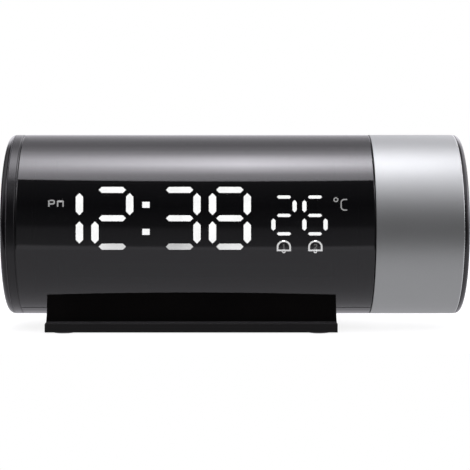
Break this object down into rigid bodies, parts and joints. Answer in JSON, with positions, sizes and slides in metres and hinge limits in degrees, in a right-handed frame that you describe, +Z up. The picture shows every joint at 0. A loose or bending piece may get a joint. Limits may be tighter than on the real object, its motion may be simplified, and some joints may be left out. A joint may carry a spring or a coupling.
{
  "type": "projection alarm clock",
  "caption": "Tube-shaped table alarm clock on a low cradle, with a lit digital display behind a smoked lens and a turning projector head at its right end.",
  "frame": {"origin": "on the table, under the middle of the clock", "axes": "+X along the tube towards the projector head, -Y towards the reader, +Z up"},
  "size_m": [0.1664, 0.0664, 0.0709],
  "materials": {
    "smoked_lens": "clear smoked acrylic, polished",
    "satin_black": "satin moulded ABS, fine grain",
    "cradle_black": "smooth black ABS",
    "inner_black": "matt black ABS",
    "head_silver": "fine blasted, silver anodised",
    "digit_white": "lit white diffuser",
    "digit_dark": "unlit diffuser behind a black ink",
    "mask_black": "matt black ink",
    "block_white": "white reflector plastic",
    "board_green": "green solder mask",
    "capacitor": "sleeved can",
    "key_black": "satin moulded key",
    "rubber": "matt nitrile rubber",
    "zinc_screw": "black zinc plated",
    "spring_steel": "spring steel",
    "cell_steel": "plated steel can",
    "socket_metal": "nickel plated",
    "focus_black": "knurled black plastic",
    "clear_optic": "polished clear acrylic",
    "panel_glass": "liquid crystal panel",
    "lamp_white": "moulded lamp",
    "lead_black": "sleeved flat wires"
  },
  "bodies": {
    "clock": {"front_lens": "smoked_lens", "rear_shell": "satin_black", "left_end_ring": "satin_black", "left_end_cap": "satin_black", "head_bulkhead": "satin_black", "cradle": "cradle_black", "bottom_plate": "cradle_black", "display_brackets": "inner_black", "board_posts": "inner_black", "cell_holder": "inner_black", "sounder": "inner_black", "lit_segments": "digit_white", "dark_segments": "digit_dark", "display_mask": "mask_black", "light_block": "block_white", "display_board": "board_green", "main_board": "board_green", "key_board": "board_green", "board_capacitors": "capacitor", "key_switches": "capacitor", "rubber_feet": "rubber", "friction_ring": "rubber", "housing_screws": "zinc_screw", "cradle_screws": "zinc_screw", "retaining_clip": "spring_steel", "coin_cell": "cell_steel", "power_socket": "socket_metal", "charging_socket": "socket_metal", "head_lead": "lead_black"},
    "projector_head": {"head_sleeve": "head_silver", "head_end_disc": "satin_black", "head_chassis": "inner_black", "projector_barrel": "inner_black", "projector_board": "board_green", "projector_lamp": "lamp_white", "condenser_lens": "clear_optic", "image_panel": "panel_glass", "lens_bezel": "inner_black"},
    "focus_ring": {"focus_ring": "focus_black"},
    "lens_cell": {"lens_cell": "inner_black", "objective_lens": "clear_optic"},
    "battery_door": {"battery_door": "satin_black"},
    "key_mode": {"key_mode": "key_black"},
    "key_set": {"key_set": "key_black"},
    "key_up": {"key_up": "key_black"},
    "key_down": {"key_down": "key_black"},
    "key_alarm": {"key_alarm": "key_black"},
    "key_projector": {"key_projector": "key_black"}
  },
  "joints": [
    {"name": "head_turn", "type": "hinge", "parent": "clock", "child": "projector_head", "pos_m": [0.0658, 0, 0.0377], "axis": [1, 0, 0], "range_deg": [-45, 135]},
    {"name": "focus_turn", "type": "hinge", "parent": "projector_head", "child": "focus_ring", "pos_m": [0.0658, 0.02121, 0.05891], "axis": [0, 0.7071, 0.7071], "range_deg": [-60, 60]},
    {"name": "lens_travel", "type": "slide", "parent": "projector_head", "child": "lens_cell", "axis": [0, 0.7071, 0.7071], "range_m": [-0.00125, 0.00125]},
    {"name": "door_lift", "type": "slide", "parent": "clock", "child": "battery_door", "axis": [0, 0.9272, -0.3746], "range_m": [0, 0.012]},
    {"name": "key_mode_press", "type": "slide", "parent": "clock", "child": "key_mode", "axis": [0, -0.9397, -0.342], "range_m": [0, 0.0008], "stiffness_N_per_m": 200, "springref_m": -0.0005},
    {"name": "key_set_press", "type": "slide", "parent": "clock", "child": "key_set", "axis": [0, -0.9397, -0.342], "range_m": [0, 0.0008], "stiffness_N_per_m": 200, "springref_m": -0.0005},
    {"name": "key_up_press", "type": "slide", "parent": "clock", "child": "key_up", "axis": [0, -0.9397, -0.342], "range_m": [0, 0.0008], "stiffness_N_per_m": 200, "springref_m": -0.0005},
    {"name": "key_down_press", "type": "slide", "parent": "clock", "child": "key_down", "axis": [0, -0.9397, -0.342], "range_m": [0, 0.0008], "stiffness_N_per_m": 200, "springref_m": -0.0005},
    {"name": "key_alarm_press", "type": "slide", "parent": "clock", "child": "key_alarm", "axis": [0, -0.9397, -0.342], "range_m": [0, 0.0008], "stiffness_N_per_m": 200, "springref_m": -0.0005},
    {"name": "key_projector_press", "type": "slide", "parent": "clock", "child": "key_projector", "axis": [0, -0.9397, -0.342], "range_m": [0, 0.0008], "stiffness_N_per_m": 200, "springref_m": -0.0005}
  ],
  "couplings": [
    {"joint": "focus_turn", "follows": "lens_travel", "rad_per_m": 837.75}
  ]
}
